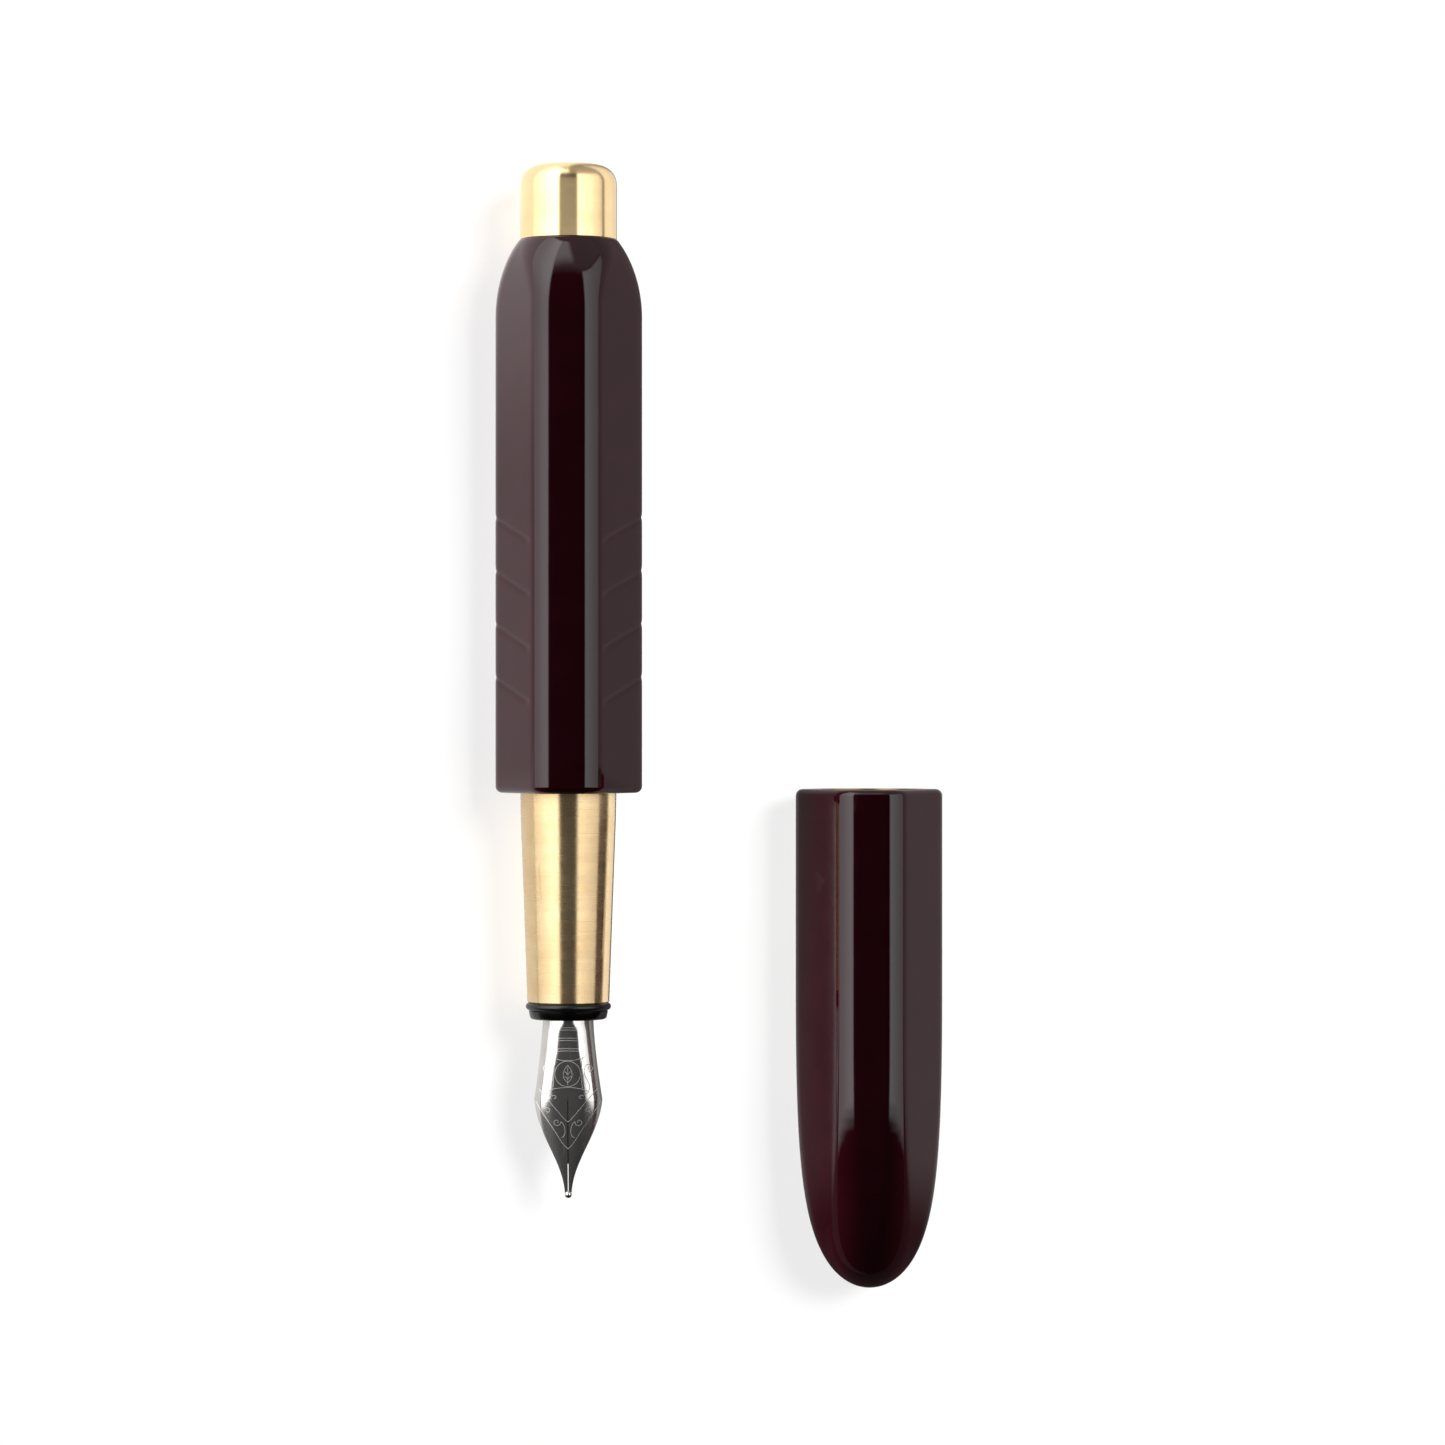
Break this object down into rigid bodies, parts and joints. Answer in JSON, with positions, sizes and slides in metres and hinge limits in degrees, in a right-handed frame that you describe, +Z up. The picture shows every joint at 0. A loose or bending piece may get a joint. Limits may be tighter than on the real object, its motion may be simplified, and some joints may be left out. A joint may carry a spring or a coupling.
{
  "type": "fountain pen",
  "caption": "Fountain pen with a faceted burgundy lacquered barrel and cap, brass grip and tail post, steel nib and twist converter, cap off beside it.",
  "frame": {"origin": "on the table, under the middle of the box around the pen and its cap", "axes": "+Y runs from the nib towards the tail post, +Z up, +X from the pen towards its cap"},
  "size_m": [0.047, 0.118, 0.0141],
  "materials": {
    "lacquer": "deep gloss burgundy lacquer",
    "polished_brass": "polished",
    "turned_brass": "fine turned",
    "liner_brass": "bored",
    "nib_steel": "polished with engraved lines",
    "tip_metal": "polished",
    "spring_steel": "satin",
    "band_chrome": "plated",
    "black_plastic": "moulded",
    "inner_plastic": "moulded",
    "clear_plastic": "clear moulded",
    "seal_rubber": "satin"
  },
  "bodies": {
    "barrel": {"barrel_shell": "lacquer", "barrel_liner": "liner_brass", "tail_post": "polished_brass"},
    "section": {"grip_section": "turned_brass", "section_joint_ring": "seal_rubber"},
    "nib_unit": {"nib_collar": "black_plastic", "nose_ring": "seal_rubber", "feed": "black_plastic", "nib": "nib_steel", "nib_tipping": "tip_metal"},
    "converter": {"converter_tube": "clear_plastic", "converter_band": "band_chrome", "converter_guide": "inner_plastic"},
    "converter_turn": {"converter_knob": "inner_plastic", "converter_screw": "inner_plastic"},
    "piston": {"piston_rod": "inner_plastic", "piston_seal": "seal_rubber"},
    "cap": {"cap_shell": "lacquer", "cap_liner": "liner_brass", "cap_clutch_ring": "spring_steel", "inner_cap": "inner_plastic"}
  },
  "joints": [
    {"name": "section_withdraw", "type": "slide", "parent": "barrel", "child": "section", "axis": [0, -1, 0], "range_m": [0, 0.065]},
    {"name": "nib_unit_withdraw", "type": "slide", "parent": "section", "child": "nib_unit", "axis": [0, -1, 0], "range_m": [0, 0.016]},
    {"name": "converter_pull", "type": "slide", "parent": "section", "child": "converter", "axis": [0, 1, 0], "range_m": [0, 0.007]},
    {"name": "converter_knob_turn", "type": "hinge", "parent": "converter", "child": "converter_turn", "pos_m": [-0.0158, 0.045, 0.0064], "axis": [0, 1, 0], "range_deg": [0, 2760]},
    {"name": "piston_slide", "type": "slide", "parent": "converter", "child": "piston", "axis": [0, 1, 0], "range_m": [0, 0.023]},
    {"name": "cap_pull", "type": "slide", "parent": "barrel", "child": "cap", "axis": [0, -1, 0], "range_m": [0, 0.05]}
  ],
  "couplings": [
    {"joint": "converter_knob_turn", "follows": "piston_slide", "rad_per_m": 2094.4}
  ]
}
